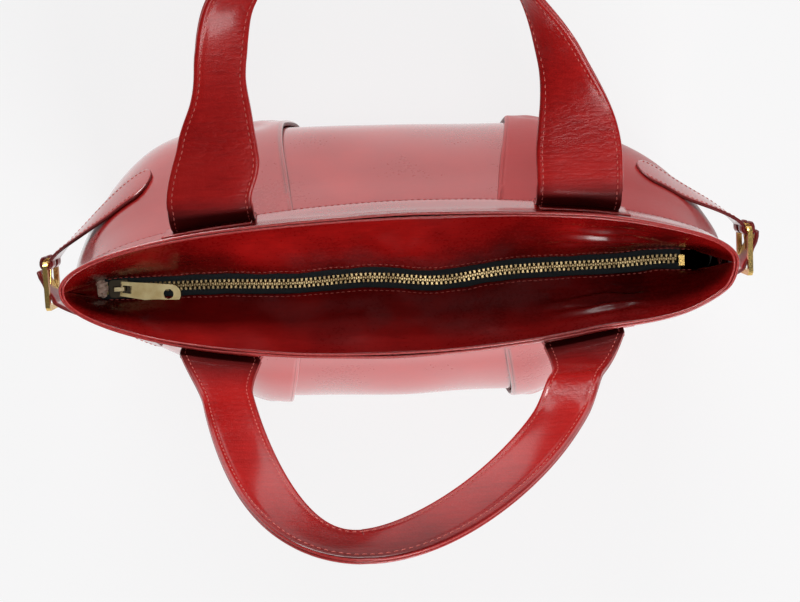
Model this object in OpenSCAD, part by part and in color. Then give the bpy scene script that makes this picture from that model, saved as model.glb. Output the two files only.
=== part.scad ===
// Soft leather handbag with a recessed zip, two loop handles and a buckled belt at each end.
// Millimetres. The origin is the middle of the base, on the floor. X runs along the zip and Z is up.

/* [Bag] */
// Height of the rim above the floor
bag_h = 235; // [215:1:270]
// Length of the mouth, inside its top band
mouth_l = 336; // [316:1:350]
// Depth of the mouth, inside its top band
mouth_d = 66; // [58:1:76]
// Length of the body at its fullest
belly_l = 370; // [360:1:390]
// Depth of the body at its fullest
belly_d = 159; // [145:1:175]
// Height at which the body is fullest
belly_z = 110; // [90:1:120]
// Length of the base
base_l = 360; // [350:1:368]
// Depth of the base
base_d = 148; // [136:1:156]
// How square the long walls of the body are, 2 being an ellipse
belly_square = 4; // [3:0.1:5]
// How blunt the ends of the body are, 2 being an ellipse
belly_blunt = 1.45; // [1.3:0.05:2]
// Share by which the ends of the front wall are drawn in
front_draw = 0.34; // [0:0.02:0.4]
// Length of wall, from a pleat, over which it is drawn in
draw_l = 70; // [50:5:90]
// Height below the band over which it is drawn in
draw_h = 45; // [30:5:70]

/* [Leather] */
// Thickness of the outer leather
leather_t = 1.6; // [1.2:0.1:2]
// Thickness of the leather that faces the mouth
facing_t = 1.2; // [0.9:0.1:1.6]
// Thickness of the cloth lining
lining_t = 0.6; // [0.4:0.1:1]
// Thickness of the base panel
base_t = 2; // [1.6:0.1:3]
// Thickness of the stiff board in the base
board_t = 2.5; // [2:0.1:4]
// Room between pieces that lie against each other
ply_gap = 0.2; // [0.15:0.05:0.3]
// Room between the lining and the leather
lining_gap = 0.8; // [0.7:0.1:1.2]
// Width of the gap at each end seam
seam_gap = 0.3; // [0.2:0.1:0.6]

/* [Top band and pleats] */
// Height of the top band
band_h = 28; // [24:1:34]
// How far the panels reach up behind the band
band_lap = 4; // [3:1:5]
// Distance from the middle to a pleat at the band
pleat_top = 51; // [40:1:60]
// Distance from the middle to a pleat at the belly
pleat_low = 62; // [55:1:76]

/* [Zip] */
// Depth of the zip below the rim
zip_drop = 34; // [30:1:40]
// Distance from the middle to the slider end of the chain
zip_left = 152; // [140:1:154]
// Distance from the middle to the closed end of the chain
zip_right = 147; // [135:1:150]
// Distance between teeth on one side
tooth_pitch = 2.4; // [2.2:0.1:3]
// Length of a tooth along the chain
tooth_l = 1.1; // [0.8:0.05:1.1]
// Height of a tooth
tooth_h = 2.4; // [2:0.1:2.8]
// How far a tooth reaches past the middle
tooth_reach = 1.1; // [0.8:0.1:1.2]
// Distance from the middle to the back of a tooth
tooth_back = 3; // [2.8:0.1:3.2]
// Width of one tape
tape_w = 10.3; // [9.6:0.1:12]
// Thickness of a tape
tape_t = 0.8; // [0.6:0.1:1]
// Distance between the two tapes
tape_slot = 4.4; // [4.2:0.1:4.8]
// Distance from the middle to the edge of a facing
facing_edge = 5.4; // [5.2:0.1:6]
// Width of the flat margin of a facing beside the zip
facing_margin = 7; // [6:0.1:9]
// Distance from the middle to the end of a facing's margin
margin_end = 155; // [153:1:156]

/* [Slider and pull] */
// Length of the slider
slider_l = 11; // [10:0.5:13]
// Width of the slider
slider_w = 9.4; // [9:0.1:10]
// Thickness of a slider plate
slider_t = 1; // [0.8:0.1:1.2]
// Running room around the teeth
slider_gap = 0.3; // [0.25:0.05:0.4]
// Length of the pull from its pin to its end
pull_l = 31; // [28:1:36]
// Width of the pull at its round end
pull_w = 10.5; // [9:0.1:11]
// Width of the pull at its pin
pull_neck = 7.6; // [7:0.1:8.5]
// Thickness of the pull
pull_t = 1; // [0.8:0.1:1.2]
// Radius of the hole in the pull
pull_hole_r = 2.6; // [1.5:0.1:3]
// From the middle of the hole to the end of the pull
pull_hole_in = 6.4; // [5:0.1:8]
// Turn of the pull off the chain's line as it lies
pull_yaw = -9; // [-12:1:0]

/* [Handles] */
// Distance from the middle to a handle's root
handle_x = 93; // [86:1:98]
// Width of a strap at its root
root_w = 43; // [36:1:46]
// Width of a strap along its loop
strap_w = 25; // [20:1:30]
// Distance from the root over which a strap narrows
taper_l = 68; // [50:1:90]
// Reach of a loop from its root
handle_reach = 150; // [120:1:170]
// Thickness of one ply of a strap
handle_ply = 1.8; // [1.4:0.1:2.2]
// Height of the handles' roots below the rim
root_drop = 9; // [7:0.5:12]
// Height of the patch that anchors a root
anchor_h = 15; // [10:1:16]
// How far a patch shows beside its strap
anchor_show = 4; // [2:0.5:6]
// Lean of the front handle above level, as it lies
front_lean = 66; // [30:1:85]
// Lean of the back handle above level, as it lies
back_lean = 20; // [0:1:60]
// How far the front loop is drawn in from an ellipse, as a share
front_pinch = 0.22; // [-0.1:0.01:0.3]
// How far the back loop is drawn in from an ellipse, as a share
back_pinch = -0.08; // [-0.1:0.01:0.3]
// Sideways sag of the front loop
front_sway = -20; // [-30:1:10]
// Sideways sag of the back loop
back_sway = -2; // [-20:1:20]

/* [Belts] */
// Height of the belts above the floor
belt_z = 160; // [140:1:170]
// Width of a belt strap
belt_w = 20; // [16:1:24]
// Thickness of a belt strap
belt_t = 1.8; // [1.4:0.1:2]
// Distance from the middle to the end of a strap's sewn tab
tab_x = 134; // [126:1:140]
// Distance from the middle to where a strap leaves the body
lift_x = 154; // [148:1:158]
// Distance of a buckle outside the end of the body
buckle_off = 13; // [11:1:16]
// Size of a buckle along its belt
buckle_l = 27; // [25:1:32]
// Width of a buckle's rim
rim_w = 3; // [2.5:0.1:3.5]
// Thickness of a buckle
buckle_t = 2.6; // [2:0.1:3]
// Radius of a buckle's bar
bar_r = 1.5; // [1.2:0.1:1.8]
// Radius of a prong
prong_r = 0.9; // [0.7:0.05:1]
// Running room on a buckle's bar
bar_gap = 0.25; // [0.2:0.05:0.35]
// Length of strap past the buckle
tail_l = 4; // [3:1:16]

/* [Hidden] */

leather_red = [0.55, 0.05, 0.05];
facing_red = [0.5, 0.03, 0.04];
lining_grey = [0.25, 0.22, 0.2];
tape_dark = [0.09, 0.12, 0.11];
brass = [0.7, 0.56, 0.28];
gold = [0.85, 0.68, 0.3];
board_brown = [0.45, 0.33, 0.22];

// Share of the half wall, from the middle, that the centre panel takes
pleat_u = 1 / 3;
// Share of the half wall that a centre panel goes on under a side panel
tuck_u = 0.04;
// Shares of the half wall over which a side panel comes down from its lap
lap_flat = 0.06;
lap_fall = 0.08;
// Room between the band and the facing at the rim
rim_gap = 0.7;
// From a pleat to where the drawing in starts, past the end of the centre panel
draw_in = 13;
wall_rows = 13;
center_columns = 11;
side_columns = 17;
lining_columns = 28;
mouth_columns = 36;
facing_rows = 7;

band_z = bag_h - band_h;
panel_z = base_t + ply_gap;
panel_top = band_z + band_lap;
lap_d = leather_t + ply_gap;
band_in = lap_d + 2 * ply_gap;
band_out = band_in + leather_t;
facing_out = band_in - rim_gap;
lining_d = -leather_t - lining_gap;
board_z = base_t + ply_gap;
lining_z = board_z + board_t + ply_gap;
zip_z = bag_h - zip_drop;
margin_z = zip_z + tape_t / 2 + ply_gap;

$draw = 0;

// Both powers of an ellipse, the shape of the mouth
ellipse = 2;
// Share of the swell from mouth to belly at a height
function swell(z) = z <= belly_z ? 1 : sin(90 * max(0, (band_z - z) / (band_z - belly_z)));
// Share of the drawing in from belly to base at a height
function tuck(z) = z >= belly_z ? 0 : pow(1 - z / belly_z, 2);
function half_l(z) = (mouth_l + (belly_l - mouth_l) * swell(z) - (belly_l - base_l) * tuck(z)) / 2;
function half_d(z) = (mouth_d + (belly_d - mouth_d) * swell(z) - (belly_d - base_d) * tuck(z)) / 2;
function square_at(z) = mix(ellipse, belly_square, swell(z));
function blunt_at(z) = mix(ellipse, belly_blunt, swell(z));
function pleat_at(z) = pleat_top + (pleat_low - pleat_top) * swell(z);

// A point of the back wall: u runs from -1 at the left seam to 1 at the right one, d is outward
function wall_x(u, z, d) =
  abs(u) <= pleat_u
  ? u / pleat_u * pleat_at(z)
  : sign(u) * (pleat_at(z)
    + (half_l(z) + d - pleat_at(z)) * sin(90 * (abs(u) - pleat_u) / (1 - pleat_u)));
// Share by which the wall comes in; only the front wall sets $draw
function draw_at(x, z) =
  $draw * smooth((abs(x) - pleat_at(z) - draw_in) / draw_l) * smooth((band_z - z) / draw_h);
function wall_share(x, z, d) = pow(min(1, abs(x) / (half_l(z) + d)), square_at(z));
function wall_y(x, z, d) =
  seam_gap / 2
  + (half_d(z) * (1 - draw_at(x, z)) + d) * pow(max(0, 1 - wall_share(x, z, d)), 1 / blunt_at(z));
function wall(u, z, d) = let (x = wall_x(u, z, d)) [x, wall_y(x, z, d), z];
function flat(p) = [p[0], p[1]];
function steps(from, to, n) = [for (i = [0 : n]) from + (to - from) * i / n];
function unit(v) = v / norm(v);
function mix(a, b, t) = a + (b - a) * t;
function smooth(t) = let (s = min(1, max(0, t))) s * s * (3 - 2 * s);

// Closed outline of the body at one height
function outline(z, d) = concat(
  [for (u = steps(-1, 1, 2 * mouth_columns)) flat(wall(u, z, d))],
  [for (u = steps(1, -1, 2 * mouth_columns)) let ($draw = front_draw, p = wall(u, z, d)) [p[0], -p[1]]]
);

// Solid through a row of rings; each ring goes out along one face and back along the other
module loft(rings) {
  n = len(rings[0]);
  last = (len(rings) - 1) * n;
  sides = [
    for (i = [0 : len(rings) - 2], j = [0 : n - 1])
    let (a = i * n + j, b = i * n + (j + 1) % n)
    each [[a, b, b + n], [a, b + n, a + n]]
  ];
  caps = [
    for (k = [0 : n / 2 - 2])
    let (a = k, b = k + 1, c = n - 2 - k, d = n - 1 - k)
    each [[a, c, b], [a, d, c], [last + a, last + b, last + c], [last + a, last + c, last + d]]
  ];
  polyhedron(points = [for (r = rings) each r], faces = concat(sides, caps));
}

// Sheet on the back wall between two shares of it, with its outer face at offset d(u)
module wall_sheet(us, zs, offsets, thickness) {
  loft([
    for (i = [0 : len(us) - 1])
    concat(
      [for (z = zs) wall(us[i], z, offsets[i] - thickness)],
      [for (k = [len(zs) - 1 : -1 : 0]) wall(us[i], zs[k], offsets[i])]
    )
  ]);
}

// The panels are upright where they go up behind the band
panel_rows = concat(steps(panel_z, band_z, wall_rows - 1), [panel_top]);

module center_panel() {
  us = steps(-pleat_u - tuck_u, pleat_u + tuck_u, center_columns);
  color(leather_red)
    wall_sheet(us, panel_rows, [for (u = us) 0], leather_t);
}

module side_panel() {
  us = steps(pleat_u, 1, side_columns);
  lift = [for (u = us) lap_d * (1 - smooth((u - pleat_u - lap_flat) / lap_fall))];
  color(leather_red)
    wall_sheet(us, panel_rows, lift, leather_t);
}

module lining_wall() {
  us = steps(-1, 1, lining_columns);
  zs = steps(lining_z + lining_t + ply_gap, band_z - ply_gap, wall_rows - 1);
  color(lining_grey)
    wall_sheet(us, zs, [for (u = us) lining_d], lining_t);
}

module front_side() {
  $draw = front_draw;
  mirror([0, 1, 0]) children();
}
module left_side() { mirror([1, 0, 0]) children(); }

module back_center_panel() { center_panel(); }
module front_center_panel() { front_side() center_panel(); }
module back_right_panel() { side_panel(); }
module back_left_panel() { left_side() side_panel(); }
module front_right_panel() { front_side() side_panel(); }
module front_left_panel() { front_side() left_side() side_panel(); }
module back_lining() { lining_wall(); }
module front_lining() { front_side() lining_wall(); }

module base_panel() {
  color(leather_red)
    linear_extrude(base_t)
    polygon(outline(0, 0));
}

module base_board() {
  color(board_brown)
    translate([0, 0, board_z])
    linear_extrude(board_t)
    polygon(outline(0, -leather_t - 2 * ply_gap));
}

module lining_base() {
  color(lining_grey)
    translate([0, 0, lining_z])
    linear_extrude(lining_t)
    polygon(outline(0, lining_d));
}

// Strip of the mouth's outline between two offsets, for the back half
function mouth_strip(d_in, d_out) = concat(
  [for (u = steps(-1, 1, mouth_columns)) flat(wall(u, bag_h, d_out))],
  [for (u = steps(1, -1, mouth_columns)) flat(wall(u, bag_h, d_in))]
);

module top_band() {
  color(leather_red)
    translate([0, 0, band_z])
    linear_extrude(band_h)
    polygon(mouth_strip(band_in, band_out));
}

module back_band() { top_band(); }
module front_band() { front_side() top_band(); }

// A point on the facing's upper face: r runs from 0 at the rim to 1 at the flat margin
facing_sag = 0.5;
function facing_curve(a, r) =
  let (
    level = mix(r, 1 - cos(90 * r), facing_sag),
    sink = mix(r, sin(90 * r), facing_sag),
    rim = [(mouth_l / 2 + facing_out - facing_t) * sin(a),
      seam_gap / 2 + (mouth_d / 2 + facing_out - facing_t) * cos(a)],
    foot = [margin_end * sin(a), facing_edge + facing_margin * sqrt(cos(a))],
    p = mix(rim, foot, level)
  )
  [p[0], p[1], mix(bag_h, margin_z + facing_t, sink)];
function facing_normal(a, r) =
  let (
    a0 = max(-90, a - 1), a1 = min(90, a + 1),
    r0 = max(0, r - 0.02), r1 = min(1, r + 0.02)
  )
  unit(cross(
    facing_curve(a1, r) - facing_curve(a0, r),
    facing_curve(a, r1) - facing_curve(a, r0)
  ));
function facing_under(a, r) =
  let (n = facing_normal(a, r), p = facing_curve(a, r))
  r == 0 ? p + facing_t * unit([n[0], n[1], 0]) : r == 1 ? p - [0, 0, facing_t] : p + facing_t * n;
function margin_tip(a, z) = [margin_end * sin(a), facing_edge, z];

module facing() {
  rs = steps(0, 1, facing_rows);
  color(facing_red)
    loft([
      for (a = steps(-90, 90, mouth_columns))
      concat(
        [for (r = rs) facing_curve(a, r)], [margin_tip(a, margin_z + facing_t)],
        [margin_tip(a, margin_z)], [for (k = [len(rs) - 1 : -1 : 0]) facing_under(a, rs[k])]
      )
    ]);
}

module back_facing() { facing(); }
module front_facing() { front_side() facing(); }

// A tape's outer corner at the slider end is cut off, so that it clears the lining
tape_corner = 6;

module zip_tape() {
  length = zip_left + zip_right + slider_l;
  color(tape_dark)
    translate([-zip_left - slider_l / 2 - tooth_pitch, tape_slot / 2, zip_z - tape_t / 2])
    linear_extrude(tape_t)
    polygon([
      [0, 0], [length, 0], [length, tape_w], [tape_corner, tape_w], [0, tape_w - tape_corner]
    ]);
}

module back_zip_tape() { zip_tape(); }
module front_zip_tape() { front_side() zip_tape(); }

// Side view of a grip on the back tape: a head toward the middle and two legs around the tape
grip_y = tape_slot / 2 - ply_gap;
grip_z = tape_t / 2 + ply_gap / 2;
head_bevel = 0.5;
// How far a cutting shape goes past what it cuts
cut = 1;
function grip_profile(head) = [
  [head, -tooth_h / 4], [head + head_bevel, -tooth_h / 2], [tooth_back, -tooth_h / 2],
  [tooth_back, -grip_z], [grip_y, -grip_z], [grip_y, grip_z],
  [tooth_back, grip_z], [tooth_back, tooth_h / 2],
  [head + head_bevel, tooth_h / 2], [head, tooth_h / 4]
];

module grip(x, length, head) {
  translate([x - length / 2, 0, zip_z])
    rotate([90, 0, 90])
    linear_extrude(length)
    polygon(grip_profile(head));
}

tooth_count = floor((zip_left + zip_right) / tooth_pitch) - 2;

module tooth_row(shift) {
  color(brass)
    for (i = [0 : tooth_count - 1])
      grip(zip_right - tooth_pitch * (i + shift + 0.5), tooth_l, -tooth_reach);
}

module back_zip_teeth() { tooth_row(0); }
module front_zip_teeth() { front_side() tooth_row(0.5); }

slider_x = -zip_left + slider_l / 2 - slider_gap;
top_stop_head = 0.8;
stop_l = 3.4;

module top_stop() { grip(slider_x - slider_l / 2 - tooth_pitch / 2, tooth_l, top_stop_head); }

module zip_top_stops() {
  color(brass) {
    top_stop();
    front_side() top_stop();
  }
}

module zip_bottom_stop() {
  color(brass)
    translate([zip_right + slider_gap, 0, zip_z])
    difference() {
      translate([0, -tooth_back, -tooth_h / 2 - ply_gap])
        cube([stop_l, 2 * tooth_back, tooth_h + 2 * ply_gap]);
      for (side = [-1, 1])
        translate([-cut, side > 0 ? grip_y : -grip_y - tape_w, -grip_z])
          cube([stop_l + 2 * cut, tape_w, 2 * grip_z]);
    }
}

// Slider: two plates held apart by a post, with lips that close on the tapes and a bridge on top
channel_z = tooth_h / 2 + slider_gap;
channel_y = tooth_back + slider_gap;
lip_z = tape_t / 2 + slider_gap;
post_l = 2;
post_w = tape_slot - 3 * slider_gap;
nose = 1;
bite = 0.2;
pin_r = 0.65;
pin_gap = 0.4;
pin_dx = 1.5;
bridge_w = 2.2;
bridge_t = 1;
bridge_l = 7.6;
bridge_slant = 0.6;
window_l = 4.6;
window_h = 2 * (pin_r + pin_gap);
plate_top = channel_z + slider_t;

module slider_plate() {
  half = slider_w / 2;
  end = slider_l / 2;
  linear_extrude(slider_t)
    polygon([
      [-end, nose - half], [nose - end, -half], [end - nose, -half], [end, 2 * nose - half],
      [end, half - 2 * nose], [end - nose, half], [nose - end, half], [-end, half - nose]
    ]);
}

module slider_lip() {
  translate([nose - slider_l / 2, channel_y, lip_z])
    cube([slider_l - 2 * nose, slider_w / 2 - channel_y, channel_z - lip_z + bite]);
}

module slider_bridge() {
  translate([pin_dx - window_l / 3, 0, plate_top - bite])
    rotate([90, 0, 0])
    linear_extrude(bridge_w, center = true)
    difference() {
      polygon([
        [nose - bridge_l / 2, 0],
        [nose - bridge_l / 2 + bridge_slant, window_h + bridge_t + bite],
        [bridge_l / 2 - bridge_slant, window_h + bridge_t + bite],
        [bridge_l / 2, 0]
      ]);
      translate([-window_l / 3, bite]) square([window_l, window_h]);
    }
}

module zip_slider() {
  color(brass)
    translate([slider_x, 0, zip_z]) {
      for (side = [0, 1])
        mirror([0, 0, side]) {
          translate([0, 0, channel_z]) slider_plate();
          slider_lip();
          mirror([0, 1, 0]) slider_lip();
        }
      translate([nose / 2 - slider_l / 2, -post_w / 2, -channel_z - bite])
        cube([post_l, post_w, 2 * (channel_z + bite)]);
      slider_bridge();
    }
}

eye_l = 5.2;
eye_w = 4;
pull_z = zip_z + plate_top + pin_gap + pin_r;

module zip_pull() {
  round_x = pull_l - pull_w / 2;
  color(brass)
    translate([slider_x + pin_dx, 0, pull_z])
    rotate([0, 0, pull_yaw]) {
      translate([0, 0, -pull_t / 2])
        linear_extrude(pull_t)
        difference() {
          union() {
            polygon([
              [-pin_r, -pull_neck / 2], [round_x, -pull_w / 2],
              [round_x, pull_w / 2], [-pin_r, pull_neck / 2]
            ]);
            translate([round_x, 0]) circle(r = pull_w / 2, $fn = 48);
          }
          translate([-2 * pin_r, -eye_w / 2]) square([eye_l + 2 * pin_r, eye_w]);
          translate([pull_l - pull_hole_in, 0]) circle(r = pull_hole_r, $fn = 32);
        }
      translate([0, eye_w / 2 + nose, 0])
        rotate([90, 0, 0])
        cylinder(r = pin_r, h = eye_w + 2 * nose, $fn = 24);
    }
}

// Handles: each is two plies of flat strap cut to a loop, and turns at its roots on the band
swing_gap = 0.3;
handle_half = handle_ply + ply_gap / 2;
hinge_z = bag_h - root_drop;
root_in = handle_x - root_w / 2;
hinge_y = wall_y(root_in, bag_h, band_out) + swing_gap + handle_half;
loop_steps = 36;

function loop_point(a, pinch, sway) =
  let (rise = sin(a))
  [handle_x * cos(a) * (1 - pinch * rise) + sway * rise * rise, handle_reach * rise];
function loop_tangent(a, pinch, sway) =
  a <= 0 ? [0, 1] : a >= 180 ? [0, -1]
  : unit(loop_point(a + 1, pinch, sway) - loop_point(a - 1, pinch, sway));
function strap_width(reach) = mix(root_w, strap_w, smooth(reach / taper_l));

// Places along a strap: middle, direction and half thickness, with both roots rounded
root_turns = [75, 50, 25];
function root_place(side, turn) =
  [[side * handle_x, -handle_half * sin(turn)], [0, side], handle_half * cos(turn)];
function strap_places(pinch, sway) = concat(
  [for (i = [0 : 2]) root_place(1, root_turns[i])],
  [for (a = steps(0, 180, loop_steps))
    [loop_point(a, pinch, sway), loop_tangent(a, pinch, sway), handle_half]],
  [for (i = [2 : -1 : 0]) root_place(-1, root_turns[i])]
);

// One ply of a strap, on the inner side or the outer side of the seam between the two
module strap_ply(lean, pinch, sway, inner) {
  translate([0, hinge_y, hinge_z])
    rotate([lean, 0, 0])
    loft([
      for (place = strap_places(pinch, sway))
      let (
        p = place[0],
        across = [place[1][1], -place[1][0]] * strap_width(p[1]) / 2,
        left = p - across,
        right = p + across,
        low = inner ? ply_gap / 2 : -place[2],
        high = inner ? place[2] : -ply_gap / 2
      )
      [[left[0], left[1], low], [right[0], right[1], low],
        [right[0], right[1], high], [left[0], left[1], high]]
    ]);
}

module front_handle_top() {
  color(leather_red) front_side() strap_ply(front_lean, front_pinch, front_sway, true);
}
module front_handle_backing() {
  color(leather_red) front_side() strap_ply(front_lean, front_pinch, front_sway, false);
}
module back_handle_top() {
  color(leather_red) strap_ply(back_lean, back_pinch, back_sway, true);
}
module back_handle_backing() {
  color(leather_red) strap_ply(back_lean, back_pinch, back_sway, false);
}

// Patch on the band under a root, with its outer face behind the sweep of the strap
anchor_y = hinge_y - handle_half / 2 - ply_gap;
anchor_top = hinge_z - handle_half - swing_gap;
anchor_columns = 8;

module anchor() {
  x_in = root_in;
  x_out = handle_x + root_w / 2 + anchor_show;
  color(leather_red)
    translate([0, 0, anchor_top - anchor_h])
    linear_extrude(anchor_h)
    polygon(concat(
      [for (x = steps(x_in, x_out, anchor_columns)) [x, wall_y(x, bag_h, band_out) + ply_gap]],
      [[x_out, anchor_y], [x_in, anchor_y]]
    ));
}

module back_right_anchor() { anchor(); }
module back_left_anchor() { left_side() anchor(); }
module front_right_anchor() { front_side() anchor(); }
module front_left_anchor() { front_side() left_side() anchor(); }

// Belts: one strap carries the buckle on its bar, the other comes through it from the far side
belt_gap = 0.6;
strap_d = belt_t / 2 + belt_gap;
belt_low = belt_z - belt_w / 2;
belt_high = belt_z + belt_w / 2;
buckle_x = half_l(belt_z) + buckle_off;
bar_y = (buckle_l - rim_w) / 2;
loop_r = bar_r + bar_gap + belt_t;
window_half = belt_w / 2 + ply_gap * 2;
prong_h = 3;
prong_wall = 1;
prong_room = 0.4;
tab_steps = 4;
free_steps = 8;
lead = 10;
tip_l = 6;
tip_inset = [0.5, 0.16, 0];

function bezier(a, b, c, d, t) =
  let (s = 1 - t) a * s * s * s + b * 3 * s * s * t + c * 3 * s * t * t + d * t * t * t;
function tab_point(x, z) = [x, wall_y(x, z, strap_d), z];
function free_run(z, end) =
  let (
    start = tab_point(lift_x, z),
    along = unit(start - tab_point(lift_x - 1, z))
  )
  [for (t = steps(0, 1, free_steps)) if (t > 0)
    bezier(start, start + along * lead, end + [0, lead, 0], end, t)];
function strap_edge(z, end, rest) = concat(
  [for (i = [0 : 2]) tab_point(tab_x + tip_l * i / 2, mix(z, belt_z, tip_inset[i]))],
  [for (x = steps(tab_x + tip_l, lift_x, tab_steps)) if (x > tab_x + tip_l) tab_point(x, z)],
  free_run(z, [end[0], end[1], z]),
  [for (p = rest) [p[0], p[1], z]]
);

module belt_ribbon(end, rest) {
  low = strap_edge(belt_low, end, rest);
  high = strap_edge(belt_high, end, rest);
  count = len(low);
  loft([
    for (i = [0 : count - 1])
    let (
      along = low[min(count - 1, i + 1)] - low[max(0, i - 1)],
      n = unit(cross(along, high[i] - low[i])) * belt_t / 2
    )
    [low[i] - n, low[i] + n, high[i] + n, high[i] - n]
  ]);
}

module belt_tube(r, h) {
  translate([buckle_x, bar_y, belt_z - h / 2]) cylinder(r = r, h = h, $fn = 48);
}

module buckle_strap() {
  color(leather_red)
    difference() {
      union() {
        belt_ribbon([buckle_x - loop_r + belt_t / 2, bar_y], []);
        belt_tube(loop_r, belt_w);
      }
      belt_tube(bar_r + bar_gap, belt_w + 2 * cut);
      belt_tube(loop_r + cut, prong_h + 2 * prong_room);
    }
}

module hole_strap() {
  inside = buckle_x - buckle_t / 2 - swing_gap - belt_t / 2;
  outside = buckle_x + loop_r + swing_gap + belt_t / 2;
  window_y = buckle_l / 2 - rim_w;
  fold = 1;
  slot_w = 2 * (prong_r + prong_room);
  color(leather_red)
    front_side()
    difference() {
      belt_ribbon(
        [inside, buckle_l / 2 + rim_w],
        [[inside, window_y - fold], [outside, loop_r - bar_y], [outside, -bar_y - tail_l]]
      );
      translate([buckle_x - lead, -window_y / 2, belt_z - slot_w / 2])
        cube([2 * lead, window_y, slot_w]);
    }
}

module buckle_frame() {
  corner = sqrt(pow(buckle_l / 2, 2) + pow(window_half + rim_w, 2)) - rim_w / 2;
  color(gold) {
    translate([buckle_x - buckle_t / 2, 0, belt_z])
      rotate([90, 0, 90])
      linear_extrude(buckle_t)
      difference() {
        intersection() {
          square([buckle_l, 2 * (window_half + rim_w)], center = true);
          circle(r = corner, $fn = 96);
        }
        translate([rim_w - buckle_l / 2, -window_half]) square([buckle_l, 2 * window_half]);
      }
    belt_tube(bar_r, 2 * window_half + rim_w / 2);
  }
}

module buckle_prong() {
  rest_off = buckle_t / 2 + prong_r + swing_gap;
  rest_angle = atan2(rest_off, 2 * bar_y);
  ring_r = bar_r + bar_gap;
  color(gold)
    translate([buckle_x, bar_y, belt_z]) {
      difference() {
        union() {
          cylinder(r = ring_r + prong_wall, h = prong_h, center = true, $fn = 32);
          rotate([90, 0, rest_angle])
            translate([0, 0, ring_r / 2])
            cylinder(r = prong_r, h = 2 * bar_y + rim_w / 2 - ring_r / 2, $fn = 24);
        }
        cylinder(r = ring_r, h = prong_h + cut, center = true, $fn = 32);
      }
    }
}

module right_buckle_strap() { buckle_strap(); }
module left_buckle_strap() { left_side() buckle_strap(); }
module right_hole_strap() { hole_strap(); }
module left_hole_strap() { left_side() hole_strap(); }
module right_buckle_frame() { buckle_frame(); }
module left_buckle_frame() { left_side() buckle_frame(); }
module right_buckle_prong() { buckle_prong(); }
module left_buckle_prong() { left_side() buckle_prong(); }

base_panel();
base_board();
lining_base();
front_lining();
back_lining();
front_center_panel();
back_center_panel();
front_left_panel();
front_right_panel();
back_left_panel();
back_right_panel();
front_band();
back_band();
front_facing();
back_facing();
front_zip_tape();
back_zip_tape();
front_zip_teeth();
back_zip_teeth();
zip_top_stops();
zip_bottom_stop();
zip_slider();
zip_pull();
front_left_anchor();
front_right_anchor();
back_left_anchor();
back_right_anchor();
front_handle_top();
front_handle_backing();
back_handle_top();
back_handle_backing();
left_buckle_strap();
right_buckle_strap();
left_hole_strap();
right_hole_strap();
left_buckle_frame();
right_buckle_frame();
left_buckle_prong();
right_buckle_prong();
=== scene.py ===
# %% [markdown]
# # A red leather handbag, seen from above
# The CAD part gives every size and every joint. This lesson dresses it: soft leather takes the place of the
# plain solids, the zip gets its own teeth, and the metal gets a finish. The bag's sizes are in millimetres,
# as on a pattern maker's sheet, and become Blender's metres where a mesh is made. The camera, the lamps and
# the places that a finish measures are in metres.

# %% Load the part
import math

import bmesh
import bpy
import numpy as np
from mathutils import Matrix, Vector


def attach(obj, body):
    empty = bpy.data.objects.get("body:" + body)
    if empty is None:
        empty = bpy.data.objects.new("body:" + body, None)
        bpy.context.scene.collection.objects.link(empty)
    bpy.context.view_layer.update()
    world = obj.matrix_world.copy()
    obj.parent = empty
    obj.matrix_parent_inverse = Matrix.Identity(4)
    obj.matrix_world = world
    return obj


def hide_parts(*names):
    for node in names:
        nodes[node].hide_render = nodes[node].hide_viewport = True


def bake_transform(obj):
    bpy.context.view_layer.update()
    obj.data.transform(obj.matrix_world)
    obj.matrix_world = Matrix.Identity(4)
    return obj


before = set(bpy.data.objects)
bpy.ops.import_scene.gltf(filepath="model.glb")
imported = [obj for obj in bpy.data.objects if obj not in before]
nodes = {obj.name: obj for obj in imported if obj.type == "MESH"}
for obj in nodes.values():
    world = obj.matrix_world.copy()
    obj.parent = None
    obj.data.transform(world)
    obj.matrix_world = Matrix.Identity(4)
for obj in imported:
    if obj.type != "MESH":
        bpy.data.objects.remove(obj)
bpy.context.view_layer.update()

mm = 0.001

# %% [markdown]
# ## Camera
# The picture was taken from above and a little behind the bag, with the camera turned by about three
# degrees. A camera can be aimed with a constraint, but three axes written out give the same view every time
# and can be checked with a pencil.

# %% Camera
tilt = math.radians(6.856)
roll = math.radians(-2.9)
camera_spot = (0, 0.074, 0.935)
ahead = Vector((0, -math.sin(tilt), -math.cos(tilt)))
level = Vector((1, 0, 0))
above = Vector((0, math.cos(tilt), -math.sin(tilt)))
camera_x = level * math.cos(roll) + above * math.sin(roll)
camera_y = above * math.cos(roll) - level * math.sin(roll)
camera_axes = Matrix((camera_x, camera_y, -ahead)).transposed()
camera = bpy.data.objects.new("camera", bpy.data.cameras.new("camera"))
camera.data.sensor_fit = "HORIZONTAL"
camera.data.sensor_width = 36
camera.data.lens = 63
camera.matrix_world = Matrix.Translation(camera_spot) @ camera_axes.to_4x4()
bpy.context.collection.objects.link(camera)
bpy.context.scene.camera = camera
print("camera at", tuple(round(v, 3) for v in camera.matrix_world.translation))

# %% [markdown]
# ## Shader maths
# A finish is a small sum: some noise for the clouds in the dye, some for the grain, and a factor for each.
# Node by node that is slow to read, so one class wraps a socket and lets Python's own signs add the Math
# nodes.


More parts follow.
